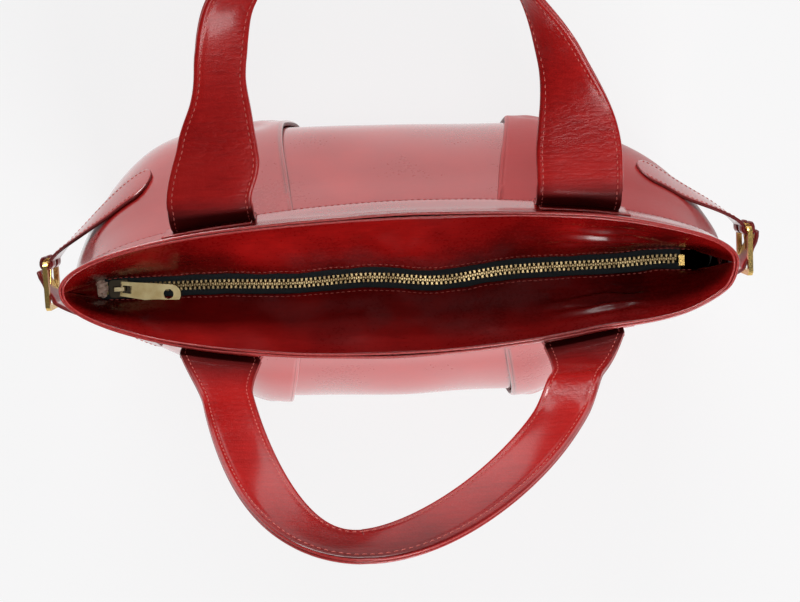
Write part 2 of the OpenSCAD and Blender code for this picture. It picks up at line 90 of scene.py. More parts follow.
# %% A socket that can be added and multiplied
class Field:
    def __init__(self, tree, socket=None):
        self.tree = tree
        self.socket = socket

    def node(self, kind, settings=(), inputs=(), out=0):
        made = self.tree.nodes.new(kind)
        for key, value in dict(settings).items():
            if key == "stops":
                elements = made.color_ramp.elements
                while len(elements) < len(value):
                    elements.new(0.5)
                for element, (position, colour) in zip(elements, value):
                    element.position = position
                    element.color = (*colour, 1)
            else:
                setattr(made, key, value)
        for key, value in dict(inputs).items():
            if isinstance(value, Field):
                self.tree.links.new(value.socket, made.inputs[key])
            else:
                made.inputs[key].default_value = value
        return Field(self.tree, made.outputs[out])

    def math(self, operation, a, b):
        return self.node("ShaderNodeMath", {"operation": operation}, {0: a, 1: b})

    def __add__(self, other):
        return self.math("ADD", self, other)

    def __radd__(self, other):
        return self.math("ADD", other, self)

    def __sub__(self, other):
        return self.math("SUBTRACT", self, other)

    def __rsub__(self, other):
        return self.math("SUBTRACT", other, self)

    def __mul__(self, other):
        return self.math("MULTIPLY", self, other)

    def __rmul__(self, other):
        return self.math("MULTIPLY", other, self)

    def capped(self):
        return self.math("MINIMUM", self.math("MAXIMUM", self, 0.0), 1.0)

    def size(self):
        return self.math("ABSOLUTE", self, 0.0)


# %% Finishes and noise
def new_finish(name):
    finish = bpy.data.materials.new(name)
    finish.use_nodes = True
    return finish, Field(finish.node_tree)


def set_finish(finish, linked, constants):
    shader = finish.node_tree.nodes["Principled BSDF"]
    for key, value in linked.items():
        finish.node_tree.links.new(value.socket, shader.inputs[key])
    for key, value in constants.items():
        shader.inputs[key].default_value = value
    return finish


def on_object(t):
    return t.node("ShaderNodeTexCoord", out="Object")


def noise(t, place, scale, detail=3.0):
    return t.node("ShaderNodeTexNoise", {}, {"Vector": place, "Scale": scale, "Detail": detail})


def ramp(t, factor, *stops):
    return t.node("ShaderNodeValToRGB", {"stops": stops}, {"Fac": factor})


def relief_of(t, height, strength, distance):
    return t.node("ShaderNodeBump", {}, {"Height": height, "Strength": strength, "Distance": distance})


print("shader helpers ready")

# %% [markdown]
# ## Glossy red leather
# The hide is dyed through and then coated, so it has two layers of shine: a soft one in the leather and a
# sharper one in the coat. Clouds a few centimetres wide shift the red, pores under a millimetre break up
# the shine, and the hide is pressed with fine level ribs about a millimetre apart. Noise in each piece's
# own space does all of this without unwrapping anything. A handle is dull at its roots and painted dark
# there, as painted shade where the rim shades it. It is darker again towards the far end of its loop, and
# creased in between, where it has bent many times.

# %% Leather
grain_scale, pore_scale, rib_scale = 520.0, 1300.0, (90.0, 640.0, 640.0)
crease_scale = (120.0, 300.0, 120.0)
crease_out, far_dark_from = 0.036, 0.085
coat_rough = 0.16


def strap_shade_and_wear(t, place, root, shade, rough, shine, height):
    axis, start, fade, turn = root
    out = t.node("ShaderNodeSeparateXYZ", {}, {"Vector": place}, axis) - start
    # Painted shade: the strap is painted darker and duller near its root, where the rim shades it
    painted_root_shade = (1.0 - out * fade).capped()
    # Darker and duller towards the far end of the loop
    far_dark = ((out - far_dark_from) * 14.0).capped()
    bent = (1.0 - (out - crease_out).size() * 55.0).capped()
    creases = {"Vector": place, "Rotation": (turn, 0.0, 0.0), "Scale": crease_scale}
    lines = noise(t, t.node("ShaderNodeMapping", {}, creases), 1.0, 4.0)
    furrow = ((lines - 0.5).size() * 9.0).capped()
    return (
        shade * (1.0 - painted_root_shade * 0.84) * (1.0 - far_dark * 0.86),
        rough + painted_root_shade * 0.35 + far_dark * 0.1,
        shine * (1.0 - painted_root_shade) * (1.0 - far_dark * 0.95),
        height + furrow * bent * 4.0,
    )


def leather(
    name, reds, roughness, coat=0.8, coat_ior=1.65, relief=1.0, cloud=22.0, tint=0.12, root=None, spec=0.4
):
    finish, t = new_finish(name)
    place = on_object(t)
    clouds = noise(t, place, cloud)
    grain = noise(t, place, grain_scale, 5.0)
    pores = t.node("ShaderNodeTexVoronoi", {}, {"Vector": place, "Scale": pore_scale})
    ribs = noise(t, t.node("ShaderNodeMapping", {}, {"Vector": place, "Scale": rib_scale}), 1.0, 2.0)
    shade = clouds * (0.9 - tint) + grain * 0.1 + ribs * tint
    height = (grain * 0.35 + pores * 0.1 + ribs * 0.5) * relief
    rough = roughness + 0.2 * (clouds - 0.5) + 0.12 * (grain - 0.5)
    shine = coat + 0.1 * (clouds - 0.5)
    if root:
        shade, rough, shine, height = strap_shade_and_wear(t, place, root, shade, rough, shine, height)
    dark, plain, bright = reds
    # The darkest stop is there for the straps' painted root shade
    deepest = [v * (0.12 if root else 0.8) for v in dark]
    dye = ramp(t, shade, (0.05, deepest), (0.34, dark), (0.52, plain), (0.72, bright))
    bump = relief_of(t, height, 0.16, 0.0006)
    return set_finish(
        finish,
        {"Base Color": dye, "Roughness": rough, "Coat Weight": shine.capped(), "Normal": bump},
        {"Coat Roughness": coat_rough, "Coat IOR": coat_ior, "Specular IOR Level": spec},
    )


print("pores every", round(1000 / pore_scale, 2), "mm")

# %% [markdown]
# ## The bag's leathers
# One hide would give one red, but the pieces are given their own: the front walls are the brightest, the
# facings are mottled, the front facing is painted darker as painted shade, the insides of the pleats are
# painted dark as painted shade, and one back panel has lost its shine. A strap is painted dark near its
# root as painted shade, and darker far out. Both are measured out from its root, along one axis: y for
# the back handle, which lies low, and z for the front one, which stands.

# %% Leather finishes
body_reds = ((0.31, 0.008, 0.008), (0.36, 0.010, 0.010), (0.42, 0.014, 0.012))
front_reds = ((0.50, 0.010, 0.010), (0.56, 0.012, 0.012), (0.63, 0.018, 0.016))
facing_reds = ((0.05, 0.001, 0.001), (0.30, 0.004, 0.004), (0.58, 0.011, 0.009))
shaded_reds = ((0.04, 0.001, 0.001), (0.20, 0.004, 0.004), (0.36, 0.008, 0.007))
strap_reds = ((0.32, 0.006, 0.006), (0.46, 0.010, 0.009), (0.56, 0.018, 0.015))
painted_shade_reds = ((0.10, 0.003, 0.003), (0.16, 0.005, 0.005), (0.22, 0.008, 0.007))
# For each strap: axis, root, fade of the painted root shade, and slant of the creases
front_root = (2, 0.233, 38.0, math.radians(66))
back_root = (1, 0.037, 95.0, math.radians(-20))

body_leather = leather("body_leather", body_reds, 0.30, coat=1.0, coat_ior=1.75, relief=0.15)
band_leather = leather("band_leather", body_reds, 0.28, coat=1.0, coat_ior=2.1, relief=0.15)
front_leather = leather("front_leather", front_reds, 0.30, coat=1.0, coat_ior=1.75, relief=0.15)
worn_leather = leather("worn_leather", body_reds, 0.46, coat=0.3, coat_ior=1.5, relief=0.5)
facing_leather = leather("facing_leather", facing_reds, 0.28, coat=0.45, relief=0.6, cloud=15.0, spec=0.25)
shaded_leather = leather("shaded_leather", shaded_reds, 0.28, coat=0.14, relief=0.6, cloud=15.0, spec=0.12)
# Painted shade: a dark leather for the turned-under insides of the pleats and the belts' cut edges
painted_shade_leather = leather("painted_shade_leather", painted_shade_reds, 0.5, coat=0.1)
front_strap_leather = leather(
    "front_strap_leather", strap_reds, 0.30,
    coat=1.0, coat_ior=1.8, relief=7.0, tint=0.3, root=front_root, spec=0.15,
)
back_strap_leather = leather(
    "back_strap_leather", strap_reds, 0.36,
    coat=0.18, relief=4.5, tint=0.3, root=back_root, spec=0.15,
)
belt_leather = leather("belt_leather", body_reds, 0.30, coat=1.0)
print("leather finishes:", [m.name for m in bpy.data.materials if "leather" in m.name])

# %% [markdown]
# ## Cut edges
# Where leather is cut its edge is painted, and where the paint is missing the pale fibres show. Board looks
# much the same. All three are fibres in two tones, with a low relief.


# %% Cut edges
def cut_edge(name, dark, light):
    finish, t = new_finish(name)
    fibres = noise(t, on_object(t), 900.0, 4.0)
    paint = ramp(t, fibres, (0.3, dark), (0.7, light))
    bump = relief_of(t, fibres, 0.25, 0.0003)
    return set_finish(
        finish,
        {"Base Color": paint, "Roughness": 0.3 + 0.2 * fibres, "Normal": bump},
        {"Coat Weight": 0.8, "Coat Roughness": 0.12},
    )


edge_paint = cut_edge("edge_paint", (0.42, 0.016, 0.015), (0.60, 0.05, 0.045))
raw_leather = cut_edge("raw_leather", (0.78, 0.46, 0.32), (0.98, 0.78, 0.64))
board_sheet = cut_edge("board_sheet", (0.16, 0.11, 0.07), (0.26, 0.19, 0.12))
print("finishes so far:", len(bpy.data.materials))

# %% [markdown]
# ## Thread and cloth
# The thread is a lighter red than the hide, and a darker one is used low on the band. The tape is a tight
# dark weave, the lining a plain one: two crossed waves make either.


# %% Thread and cloth finishes
def thread_finish(name, dark, light):
    finish, t = new_finish(name)
    twist = noise(t, on_object(t), 2600.0, 2.0)
    colour = ramp(t, twist, (0.3, dark), (0.7, light))
    return set_finish(finish, {"Base Color": colour, "Roughness": 0.45 + 0.25 * twist}, {"Sheen Weight": 0.2})


def weave(name, dark, light, threads):
    finish, t = new_finish(name)
    place = on_object(t)
    waves = {"Vector": place, "Scale": threads, "Distortion": 0.6}
    warp = t.node("ShaderNodeTexWave", {"bands_direction": "X"}, waves)
    weft = t.node("ShaderNodeTexWave", {"bands_direction": "Y"}, waves)
    cloth = warp * 0.5 + weft * 0.5
    soil = noise(t, place, 60.0)
    colour = ramp(t, cloth * 0.6 + soil * 0.4, (0.2, dark), (0.9, light))
    rough = 0.75 + 0.2 * (soil - 0.5)
    bump = relief_of(t, cloth, 0.5, 0.0002)
    return set_finish(
        finish, {"Base Color": colour, "Roughness": rough, "Normal": bump}, {"Sheen Weight": 0.1}
    )


red_thread = thread_finish("red_thread", (0.52, 0.06, 0.05), (0.74, 0.19, 0.15))
dark_thread = thread_finish("dark_thread", (0.36, 0.02, 0.02), (0.48, 0.05, 0.045))
tape_cloth = weave("tape_cloth", (0.010, 0.018, 0.022), (0.030, 0.046, 0.052), 1200.0)
lining_cloth = weave("lining_cloth", (0.035, 0.028, 0.024), (0.085, 0.070, 0.06), 900.0)
print("finishes so far:", len(bpy.data.materials))

# %% [markdown]
# ## Metal
# The zip's brass is lacquered and has gone dull, so it is only partly metallic, and the buckles keep a
# brighter plating. Tarnish is noise that mixes two tones and roughens the shine. The slider is dark but for
# its top, which is bright: there the height decides.

# %% Metal finishes
slider_bright_z = 0.2042


def metal(name, dull, bright, low, high, scratch, bare=1.0, bright_above=None):
    finish, t = new_finish(name)
    place = on_object(t)
    tarnish = noise(t, place, 160.0, 5.0)
    fine = noise(t, place, 1700.0)
    shade = tarnish * 0.8 + fine * 0.2
    # Brighter above a given height
    if bright_above:
        high_up = t.node("ShaderNodeSeparateXYZ", {}, {"Vector": place}, 2)
        shade = shade * 0.4 + ((high_up - bright_above) * 700.0).capped() * 0.6
    colour = ramp(t, shade, (0.35, dull), (0.62, bright))
    bump = relief_of(t, fine + tarnish, scratch, 0.0002)
    rough = low + (high - low) * (1.0 - tarnish)
    return set_finish(finish, {"Base Color": colour, "Roughness": rough, "Normal": bump}, {"Metallic": bare})


zip_brass = metal("zip_brass", (0.24, 0.165, 0.07), (0.56, 0.42, 0.20), 0.22, 0.4, 0.15, bare=0.65)
slider_brass = metal(
    "slider_brass", (0.05, 0.035, 0.018), (0.90, 0.74, 0.42), 0.25, 0.45, 0.15,
    bare=0.6, bright_above=slider_bright_z,
)
pull_brass = metal("pull_brass", (0.84, 0.66, 0.28), (1.0, 0.85, 0.44), 0.3, 0.5, 0.1, bare=0.4)
buckle_gold = metal("buckle_gold", (0.72, 0.46, 0.13), (0.90, 0.64, 0.24), 0.14, 0.3, 0.06)
print("finishes:", len(bpy.data.materials))

# %% [markdown]
# ## The bag's shape as numbers
# A bag is a lofted shell: at each height its outline is a stretched circle, narrow at the mouth and full at
# the belly. These are the same curves as in the part's source, so the leather lies where the solids are.

# %% Curves of the body
bag_h, band_z, belly_z, zip_z = 235.0, 207.0, 110.0, 201.0
mouth_l, mouth_d = 336.0, 66.0
belly_l, belly_d = 370.0, 159.0
base_l, base_d = 360.0, 148.0
quarter = math.pi / 2


def smooth(t):
    t = np.clip(t, 0, 1)
    return t * t * (3 - 2 * t)


def mix(a, b, t):
    return a + (b - a) * t


def hump(x, at, width):
    return np.exp(-(((x - at) / width) ** 2))


def swell(z):
    return np.where(z <= belly_z, 1.0, np.sin(quarter * np.clip((band_z - z) / (band_z - belly_z), 0, 1)))


def tuck(z):
    return np.where(z >= belly_z, 0.0, (1 - z / belly_z) ** 2)


def half_l(z):
    return (mouth_l + (belly_l - mouth_l) * swell(z) - (belly_l - base_l) * tuck(z)) / 2


def half_d(z):
    return (mouth_d + (belly_d - mouth_d) * swell(z) - (belly_d - base_d) * tuck(z)) / 2


print("belly half depth", float(half_d(belly_z)), "mouth half length", float(half_l(bag_h)))

# %% [markdown]
# ## A point on the wall
# Walls, base, lining and band ask for points by the same three numbers: u runs from -1 at the left end seam
# to 1 at the right one, z is the height, and d is how far the point stands out of the wall. At a third of
# the way from the middle, on either side, the pleat goes down the wall. A wall can be drawn in beside its
# pleats, by a share of its depth.

# %% Points on the wall
pleat_u, pleat_top, pleat_low = 1 / 3, 51.0, 62.0
seam_gap = 0.02
draw_from, draw_run, draw_drop = 13.0, 70.0, 45.0
flare_out, flare_top, flare_low = 3.0, 228.0, 180.0


def pleat_at(z):
    return mix(pleat_top, pleat_low, swell(z))


def wall_x(u, z, d):
    reach = pleat_at(z)
    share = np.clip((np.abs(u) - pleat_u) / (1 - pleat_u), 0, 1)
    outer = reach + (half_l(z) + d - reach) * np.sin(quarter * share)
    return np.where(np.abs(u) <= pleat_u, u / pleat_u * reach, np.sign(u) * outer)


def wall_y(x, z, d, draw=0.0):
    share = np.minimum(1, np.abs(x) / (half_l(z) + d)) ** (2 + 2 * swell(z))
    drawn = draw * smooth((np.abs(x) - pleat_at(z) - draw_from) / draw_run) * smooth((band_z - z) / draw_drop)
    return seam_gap + (half_d(z) * (1 - drawn) + d) * (1 - share) ** (1 / (2 - 0.55 * swell(z)))


def flare(u, z):
    fade = smooth((flare_top - z) / (flare_top - band_z)) * smooth((z - flare_low) / (band_z - flare_low))
    return flare_out * fade * (1 - np.abs(u) ** 6)


def wall(u, z, d, draw=0.0):
    u, z, d = np.broadcast_arrays(np.asarray(u, float), np.asarray(z, float), np.asarray(d, float))
    x = wall_x(u, z, d)
    return np.stack([x, wall_y(x, z, d, draw), z], -1)


print("middle of the back wall at the belly:", wall(0.0, belly_z, 0.0).round(2))

# %% [markdown]
# ## How the empty bag settles
# Nothing in the bag holds it square. In the photo the base is turned a few degrees under the mouth, and the
# rim bows toward the front, more bluntly at the right end. Walls, base, lining, band, facings, patches and
# belts go through one function that does all of it, so neighbours stay together. The straps take only the
# rim's bow from it.

# %% Settling, and noise for dents
base_turn = math.radians(-3.4)
rim_dip, rim_lift, rim_half, rim_run = 2.6, 5.2, 170.0, 32.0
blunt_from, blunt_run = 95.0, 55.0
lattice_n = 64


def rim_bow(x):
    return -rim_dip + rim_lift * (x / rim_half) ** 2


def settle(points, twist=1.0):
    p = np.asarray(points, float)
    x, y, z = p[..., 0], p[..., 1], p[..., 2]
    turn = base_turn * (1 - smooth(z / band_z)) * twist
    moved_x = x * np.cos(turn) - y * np.sin(turn)
    moved_y = x * np.sin(turn) + y * np.cos(turn)
    blunt = smooth((x - blunt_from) / blunt_run) * (1.6 + 3.8 * smooth(-y / 9))
    rim = smooth((z - zip_z) / rim_run) * (rim_bow(x) - blunt)
    return np.stack([moved_x, moved_y + rim, z], -1)


def dents(a, b, scale, seed):
    table = np.random.RandomState(seed).uniform(-1, 1, (lattice_n, lattice_n))
    a, b = np.broadcast_arrays(np.asarray(a, float) / scale, np.asarray(b, float) / scale)
    row, column = np.floor(a).astype(int), np.floor(b).astype(int)
    along, across = smooth(a - row), smooth(b - column)
    near, far = [
        mix(table[row % lattice_n, c % lattice_n], table[(row + 1) % lattice_n, c % lattice_n], along)
        for c in (column, column + 1)
    ]
    return mix(near, far, across)


print("rim bow at the middle:", settle(np.array([0.0, 0.0, bag_h])).round(2))

# %% [markdown]
# ## A sheet of leather with thickness
# Blender's Solidify would do, but leather has a soft rounded edge where it is cut. So the sheet is built:
# one grid for the outside, one for the inside, and a row of points that bulges out between them all the
# way round.

# %% Sheets
edge_bulge = 0.4


def unit(v):
    return v / np.maximum(np.linalg.norm(v, axis=-1, keepdims=True), 1e-9)


def normals_of(grid):
    return unit(np.cross(np.gradient(grid, axis=0), np.gradient(grid, axis=1)))


def sheet_rim(n, m):
    return (
        [(i, 0) for i in range(n - 1)] + [(n - 1, j) for j in range(m - 1)]
        + [(i, m - 1) for i in range(n - 1, 0, -1)] + [(0, j) for j in range(m - 1, 0, -1)]
    )


def sheet_parts(outside, thickness):
    n, m = outside.shape[:2]
    inside = outside - normals_of(outside) * thickness
    middle = (outside + inside) / 2
    top = np.arange(n * m).reshape(n, m)
    low = top + n * m
    rim = sheet_rim(n, m)
    bulge = []
    for i, j in rim:
        inner = (min(max(i, 1), n - 2), min(max(j, 1), m - 2))
        bulge.append(middle[i, j] + unit(middle[i, j] - middle[inner]) * thickness * edge_bulge)
    faces = []
    for i in range(n - 1):
        for j in range(m - 1):
            faces.append((top[i, j], top[i + 1, j], top[i + 1, j + 1], top[i, j + 1]))
            faces.append((low[i, j], low[i, j + 1], low[i + 1, j + 1], low[i + 1, j]))
    marks = [0] * len(faces)
    for k, a in enumerate(rim):
        after = (k + 1) % len(rim)
        b = rim[after]
        edge_a, edge_b = 2 * n * m + k, 2 * n * m + after
        faces.append((top[b], top[a], edge_a, edge_b))
        faces.append((edge_b, edge_a, low[a], low[b]))
        marks += [1, 1]
    points = np.concatenate([outside.reshape(-1, 3), inside.reshape(-1, 3), np.array(bulge)])
    return points, [tuple(int(v) for v in face) for face in faces], marks


print("a sheet of 3 by 3 points has", len(sheet_rim(3, 3)), "points at its edge")


# %% Pieces
def make_piece(name, points, faces, finishes, indices=None):
    mesh = bpy.data.meshes.new(name)
    mesh.from_pydata((np.asarray(points) * mm).tolist(), [], faces)
    for finish in finishes:
        mesh.materials.append(finish)
    if indices is not None:
        mesh.polygons.foreach_set("material_index", np.asarray(indices, np.int32))
    work = bmesh.new()
    work.from_mesh(mesh)
    bmesh.ops.recalc_face_normals(work, faces=work.faces)
    work.to_mesh(mesh)
    work.free()
    mesh.polygons.foreach_set("use_smooth", np.ones(len(mesh.polygons), bool))
    piece = bpy.data.objects.new(name, mesh)
    bpy.context.collection.objects.link(piece)
    return piece


def join_parts(parts):
    points, faces, marks, base = [], [], [], 0
    for p, f, k in parts:
        points.append(p)
        faces += [tuple(v + base for v in face) for face in f]
        marks += list(k)
        base += len(p)
    return np.concatenate(points), faces, marks


def leather_piece(name, grids, thickness, finish, edge=edge_paint):
    points, faces, marks = join_parts([sheet_parts(g, thickness) for g in grids])
    return make_piece(name, points, faces, [finish, edge], marks)


def dress(piece, body, slot, *stands_for):
    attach(piece, body)
    if stands_for:
        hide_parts(*stands_for)
    print(piece.name, "points:", len(piece.data.vertices), "on", body)


print("piece helpers ready")

# %% [markdown]
# ## From one quarter to four
# Walls, band, facings and patches are drawn at the back, on the right where they come in pairs, and
# mirrored to their own places. A mirror turns a sheet inside out, so a sheet that is mirrored twice or not
# at all has its rows put in reverse. A seam along a sheet lies a hair above it, and stitches, teeth and
# straps are tubes.

# %% Mirrors, seams and tubes
thread_lift = 0.06


def flipped(grid, sign_x, sign_y):
    return np.asarray(grid) * np.array([sign_x, sign_y, 1])


def placed(grid, sign_x, sign_y):
    settled = settle(flipped(grid, sign_x, sign_y))
    return settled if sign_x * sign_y < 0 else settled[:, ::-1]


def seam_on(grid, span, row):
    out = normals_of(grid)[span, row]
    return grid[span, row] + thread_lift * out, out


def tube_faces(rings, n, base=0):
    faces = []
    for r in range(rings - 1):
        for k in range(n):
            a, b = base + r * n + k, base + r * n + (k + 1) % n
            faces.append((a, b, b + n, a + n))
    last = base + (rings - 1) * n
    return faces + [tuple(range(base + n - 1, base - 1, -1)), tuple(range(last, last + n))]


print("a tube of two rings of six has", len(tube_faces(2, 6)), "faces")

# %% [markdown]
# ## Stitches
# Machine stitching is a row of short raised threads, each a little sunk at both ends where it goes through
# the leather. A texture would do from far off, but small meshes catch the light from every side.

# %% Stitches along a line
stitch_steps, stitch_sides = (-1.0, -0.7, 0.0, 0.7, 1.0), 6
stitch_tip, stitch_sink, look_around = 0.12, 0.5, 0.4


def lengths(line):
    return np.concatenate([[0], np.cumsum(np.linalg.norm(np.diff(line, axis=0), axis=1))])


def at_marks(marks, length, line):
    return np.stack([np.interp(marks, length, np.asarray(line)[:, k]) for k in range(3)], -1)


def stitch_shape(size):
    shape = []
    for step in stitch_steps:
        girth = max(stitch_tip, math.sqrt(max(0, 1 - step * step)))
        for k in range(stitch_sides):
            angle = k * math.tau / stitch_sides
            sunk = stitch_sink * step * step
            shape.append((step / 2, math.cos(angle) * girth / 2, math.sin(angle) * girth - sunk))
    return np.array(shape) * np.array(size)


def stitch_parts(line, faces_out, pitch=3.2, size=(2.3, 0.6, 0.34)):
    length = lengths(line)
    marks = np.arange(pitch / 2, length[-1], pitch)
    along = unit(at_marks(marks + look_around, length, line) - at_marks(marks - look_around, length, line))
    out = unit(at_marks(marks, length, faces_out))
    beside = np.cross(along, out)
    shape = stitch_shape(size)
    points = (
        at_marks(marks, length, line)[:, None]
        + along[:, None] * shape[None, :, 0:1]
        + beside[:, None] * shape[None, :, 1:2]
        + out[:, None] * shape[None, :, 2:3]
    )
    faces = []
    for s in range(len(marks)):
        faces += tube_faces(len(stitch_steps), stitch_sides, s * len(shape))
    return points.reshape(-1, 3), faces, [0] * len(faces)


def stitches(name, rows, thread=red_thread, **more):
    points, faces, _ = join_parts([stitch_parts(line, out, **more) for line, out in rows])
    return make_piece(name, points, faces, [thread])


print("a stitch has", len(stitch_steps) * stitch_sides, "points")

# %% [markdown]
# ## Walls
# Each long wall is a centre panel with a side panel lapped over it on either side. The lap is a pleat: the
# side panel turns under at its edge, so its edge is a rounded fold that stands proud of the centre panel
# and flattens under the top band. The turned-under part is painted dark, as painted shade inside the
# pleat. Low waves and drawn folds keep the leather from looking like sheet metal.

# %% Grids of the walls
wall_z = np.concatenate([np.linspace(2.4, 200, 84), np.linspace(201.5, 211, 8)])
lap_u, hem_u, fold_u = pleat_u + 0.04, pleat_u + 0.05, pleat_u + 0.012


def slack(x, z, seed):
    low = 1.3 * dents(x, z, 46.0, seed) * smooth((200 - z) / 40) * smooth(z / 25)
    folds = 0.8 * dents(x * 0.3, z, 13.0, seed + 1) * smooth((90 - z) / 60) * smooth(z / 12)
    return low + folds


def center_grid(seed, draw=0.0):
    u = np.linspace(-lap_u, lap_u, 64)[:, None]
    z = wall_z[None, :]
    x = wall_x(u, z, 0.0)
    puff = -0.25 + slack(x, z, seed) * (1 - (np.abs(u) / lap_u) ** 4) + flare(u, z)
    return wall(u, z, puff, draw)


def side_grid(seed, draw=0.0):
    z = wall_z[None, :]
    rise = mix(3.0, 1.0, smooth((z - 168) / 36)) * mix(0.8, 1, smooth(z / 40)) + 0.8
    low = mix(0.3, -1.8, smooth((z - 150) / 40))
    # The hem, which lies under the fold
    under = np.linspace(hem_u, fold_u, 8)[:, None]
    hem = wall(under, z, low + flare(under, z), draw)
    # The fold, half a turn from the hem to the outside
    fold = np.linspace(0, math.pi, 9)[:, None]
    climb = low + (rise - low) * (1 - np.cos(fold)) / 2
    turned = wall(fold_u + 0 * fold, z, climb + flare(pleat_u, z), draw)
    turned[..., 0] -= np.sin(fold) * (rise - low) * 0.5
    # The rest of the panel, gathered beside the fold
    over = np.linspace(fold_u, 1, 96)[:, None]
    x = wall_x(over, z, 0.0)
    past = over - pleat_u
    puff = mix(rise, 0.0, smooth((past - 0.02) / 0.2))
    puff = puff + slack(x, z, seed) * smooth(past / 0.1) * smooth((1 - over) / 0.12)
    gather = 1.4 * np.sin(z / 5.5 + 2.6 * dents(x, z, 26.0, seed + 2)) * hump(over, pleat_u, 0.15)
    puff = puff + gather * smooth((past - 0.02) / 0.04) * smooth((150 - z) / 40) * smooth((z - 40) / 40)
    return np.concatenate([hem, turned, wall(over, z, puff + flare(over, z), draw)])


print("rows up a wall:", len(wall_z))

# %% Walls of the body
wall_t, painted_shade_strips = 1.5, 13
draw_left, draw_middle, draw_right, shoulder = 0.26, 0.34, 0.40, -0.12
for node_name, finish, grid, sign_x, sign_y in (
    ("back_center_panel", body_leather, center_grid(3), 1, 1),
    ("front_center_panel", front_leather, center_grid(5, draw_middle), 1, -1),
    ("back_right_panel", worn_leather, side_grid(7), 1, 1),
    ("back_left_panel", body_leather, side_grid(11, shoulder), -1, 1),
    ("front_right_panel", front_leather, side_grid(13, draw_right), 1, -1),
    ("front_left_panel", front_leather, side_grid(17, draw_left), -1, -1),
):
    panel = leather_piece("leather_" + node_name, [placed(grid, sign_x, sign_y)], wall_t, finish)
    # Painted shade: the turned-under strips of a side panel get the dark leather
    if "center" not in node_name:
        panel.data.materials.append(painted_shade_leather)
        for face in panel.data.polygons[: 2 * painted_shade_strips * (len(wall_z) - 1)]:
            face.material_index = 2
    dress(panel, "bag", "outer_leather", node_name)

# %% [markdown]
# ## Base and lining
# The base is one piece of leather with softened edges, and a stiff board lies on it. The lining hangs
# inside the walls and shows only as a dark space at the ends of the zip, so it is modelled plainly, as
# cloth. Base, board and the lining's floor are stacks of rings that follow the foot of the walls.

# %% Stacks of rings
foot_z, ring_n = 1.0, 96


def draw_front(u):
    return np.where(u < 0, draw_left, draw_right)


def draw_back(u):
    return np.where(u < 0, shoulder, 0.0)


def foot_ring(d, z):
    u = np.linspace(-1, 1, ring_n)
    back = wall(u, foot_z, d, draw_back(u))
    front = flipped(wall(u, foot_z, d, draw_front(u)), 1, -1)
    around = np.concatenate([back, front[::-1]])
    around[:, 2] = z
    return settle(around)


def stacked(name, profile, finish):
    rings = [foot_ring(d, z) for d, z in profile]
    return make_piece(name, np.concatenate(rings), tube_faces(len(rings), 2 * ring_n), [finish])


base_rings = [(-9, 0.25), (-3, 0.0), (-0.8, 0.0), (-0.1, 0.7), (-0.1, 1.5), (-0.8, 2.0), (-9, 2.0)]
board_rings = [(-9, 2.1), (-2.3, 2.1), (-1.9, 2.4), (-1.9, 4.3), (-2.3, 4.6), (-9, 4.6)]
floor_rings = [(-9, 5.0), (-2.9, 5.0), (-2.7, 5.3), (-2.9, 5.6), (-9, 5.6)]
dress(stacked("leather_base", base_rings, body_leather), "bag", "outer_leather", "base_panel")
dress(stacked("base_stiffener", board_rings, board_sheet), "bag", "board", "base_board")
dress(stacked("lining_floor", floor_rings, lining_cloth), "bag", "lining", "lining_base")

# %% Lining
lining_in, lining_t = 4.6, 0.5
lining_u = np.linspace(-1, 1, 90)[:, None]
lining_z = np.linspace(6.0, 206.5, 40)[None, :]
for side, draw_at, node_name in ((1, draw_back, "back_lining"), (-1, draw_front, "front_lining")):
    hang = -lining_in + 0.25 * dents(wall_x(lining_u, lining_z, 0.0), lining_z, 20.0, 23 + side)
    cloth = placed(wall(lining_u, lining_z, hang, draw_at(lining_u)), 1, side)
    lining = leather_piece("cloth_" + node_name, [cloth], lining_t, lining_cloth, lining_cloth)
    dress(lining, "bag", "lining", node_name)

# %% [markdown]
# ## Top band
# A plain strip goes round the mouth, seamed at both ends. Its upper edge and the facing's edge lie side by
# side at the rim, which is why the rim shows as two thin bright lines with a groove between them.

# %% Top band
band_t, band_out, band_seam_z = 1.6, 3.8, 210.4
band_u = np.linspace(-1, 1, 220)[:, None]
band_foot = band_z + np.array([0.2, 0.7, 1.2])
band_rim = bag_h - np.array([0.6, 0.1])
band_rows = np.concatenate([band_foot, np.linspace(band_z + 1.8, bag_h - 1.4, 18), band_rim])[None, :]
band_d = band_out + 0.35 * dents(wall_x(band_u, bag_h, 0.0), band_rows, 34.0, 29)
band_d = band_d - 2.1 * smooth((band_z + 2.6 - band_rows) / 2.2)
band_d = band_d - 0.45 * smooth((band_rows - bag_h + 1.0) / 1.0) + flare(band_u, band_rows)
band = wall(band_u, np.full_like(band_rows, bag_h), band_d)
band[..., 2] = np.broadcast_to(band_rows, band.shape[:2])
band_seams = []
for side, node_name in ((1, "back_band"), (-1, "front_band")):
    outside = placed(band, 1, side)
    strip = leather_piece("leather_" + node_name, [outside], band_t, band_leather)
    dress(strip, "bag", "outer_leather", node_name)
    row = int(np.argmin(np.abs(outside[0, :, 2] - band_seam_z)))
    band_seams.append(seam_on(outside, slice(3, -3), row))
dress(stitches("band_stitches", band_seams, dark_thread, size=(2.0, 0.45, 0.22)), "bag", "outer_leather")

# %% [markdown]
# ## Facings
# Inside the rim a thinner leather slopes down to the zip. It is sewn only along its two edges, so between
# them it sags and dimples, and the dimples and the mottled dye make the patches of light and dark red. Near
# its right end it is crumpled. Its lower edge follows the zip, which bows.

# %% Grid of a facing
facing_t, facing_deep, facing_seam_in = 1.3, 40.0, 2.0
rim_x, rim_y, rim_seam = 168.5, 33.5, 0.15
edge_x, edge_in, edge_z = 155.0, 5.3, 202.8


def bow(x):
    x = np.asarray(x, float)
    return -4.0 * hump(x, 21, 25) - 1.9 * hump(x, -55, 28) + 1.2 * hump(x, 138, 17)


